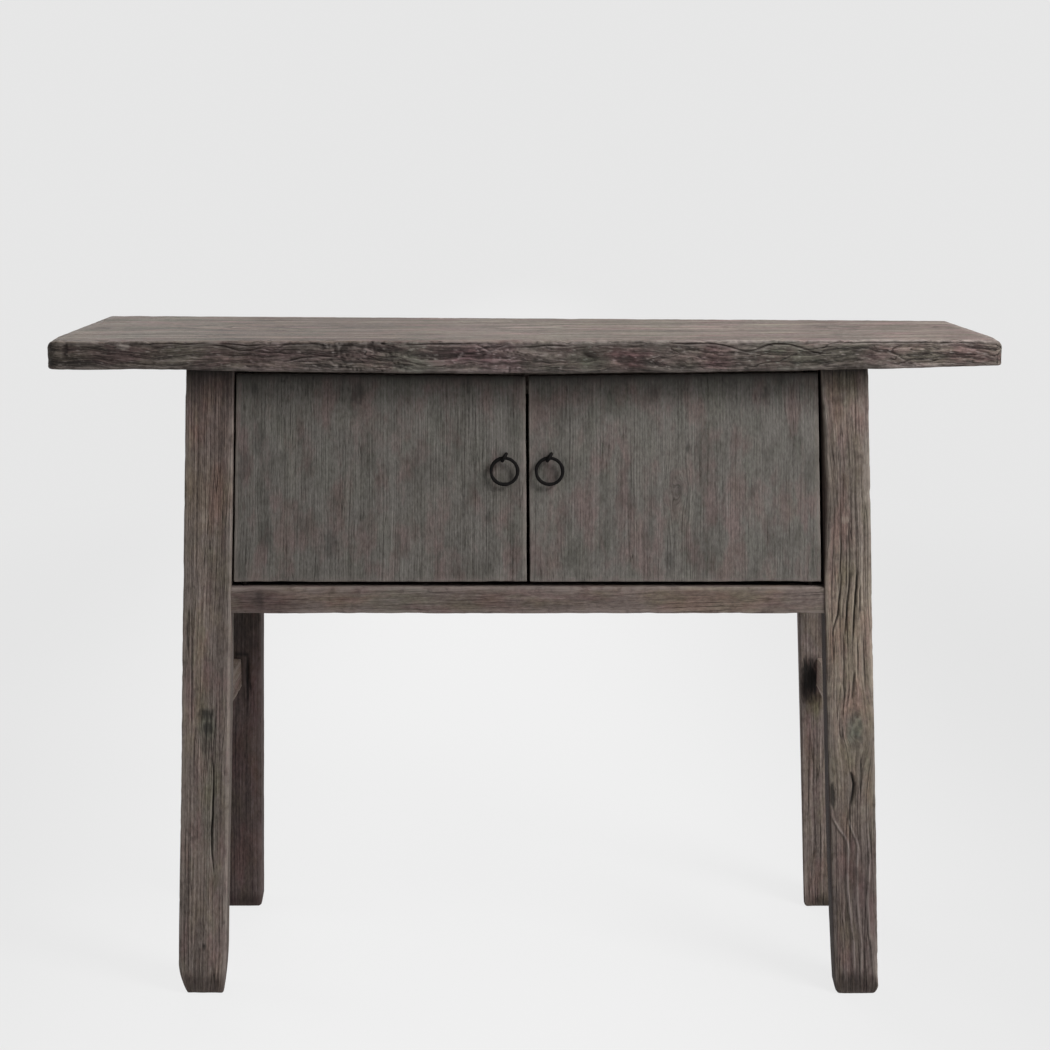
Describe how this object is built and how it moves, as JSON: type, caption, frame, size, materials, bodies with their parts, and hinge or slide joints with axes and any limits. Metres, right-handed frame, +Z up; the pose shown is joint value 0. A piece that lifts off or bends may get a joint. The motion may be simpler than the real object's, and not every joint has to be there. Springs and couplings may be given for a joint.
{
  "type": "side table",
  "caption": "Long narrow side table of weathered plank wood on splayed legs, with a shallow two-door cabinet under the top, ring pulls, end stretchers and open space below.",
  "frame": {"origin": "on the floor, below the middle of the top", "axes": "+Z up, +X along the top to the right as seen from the front, +Y from the doors to the back; the doors face -Y"},
  "size_m": [1.212, 0.3904, 0.875],
  "materials": {
    "elm_top": "worn and weathered old elm, dry and matt, with open grain",
    "elm_frame": "weathered old elm, dry and matt, furrowed along the grain",
    "elm_doors": "smoothed old elm with a grey wash, matt",
    "elm_inside": "planed old elm, unfinished",
    "elm_pins": "turned hardwood, rubbed smooth",
    "forged_iron": "black hand-forged iron wire, matt"
  },
  "bodies": {
    "frame": {"top_board": "elm_top", "leg_front_left": "elm_frame", "leg_front_right": "elm_frame", "leg_back_left": "elm_frame", "leg_back_right": "elm_frame", "front_lower_rail": "elm_frame", "back_lower_rail": "elm_frame", "left_lower_rail": "elm_frame", "right_lower_rail": "elm_frame", "front_upper_rail": "elm_frame", "back_upper_rail": "elm_frame", "left_upper_rail": "elm_frame", "right_upper_rail": "elm_frame", "left_stretcher": "elm_frame", "right_stretcher": "elm_frame", "cabinet_floor": "elm_inside", "back_panel": "elm_inside", "left_side_panel": "elm_inside", "right_side_panel": "elm_inside", "door_stop": "elm_frame"},
    "left_leaf": {"left_door": "elm_doors", "left_door_upper_batten": "elm_inside", "left_door_lower_batten": "elm_inside", "left_door_upper_pin": "elm_pins", "left_door_lower_pin": "elm_pins", "left_ring_eye": "forged_iron"},
    "right_leaf": {"right_door": "elm_doors", "right_door_upper_batten": "elm_inside", "right_door_lower_batten": "elm_inside", "right_door_upper_pin": "elm_pins", "right_door_lower_pin": "elm_pins", "right_ring_eye": "forged_iron"},
    "left_ring": {"left_ring_pull": "forged_iron"},
    "right_ring": {"right_ring_pull": "forged_iron"}
  },
  "joints": [
    {"name": "left_door_hinge", "type": "hinge", "parent": "frame", "child": "left_leaf", "pos_m": [-0.37097, -0.15412, 0.556], "axis": [-0.0324, -0.0438, -0.9985], "range_deg": [0, 105]},
    {"name": "right_door_hinge", "type": "hinge", "parent": "frame", "child": "right_leaf", "pos_m": [0.37097, -0.15412, 0.556], "axis": [-0.0324, 0.0438, 0.9985], "range_deg": [0, 105]},
    {"name": "left_ring_swing", "type": "hinge", "parent": "left_leaf", "child": "left_ring", "pos_m": [-0.02925, -0.1639, 0.71985], "axis": [-1, 0, 0], "range_deg": [-6, 170]},
    {"name": "right_ring_swing", "type": "hinge", "parent": "right_leaf", "child": "right_ring", "pos_m": [0.02925, -0.1639, 0.71985], "axis": [-1, 0, 0], "range_deg": [-6, 170]}
  ]
}
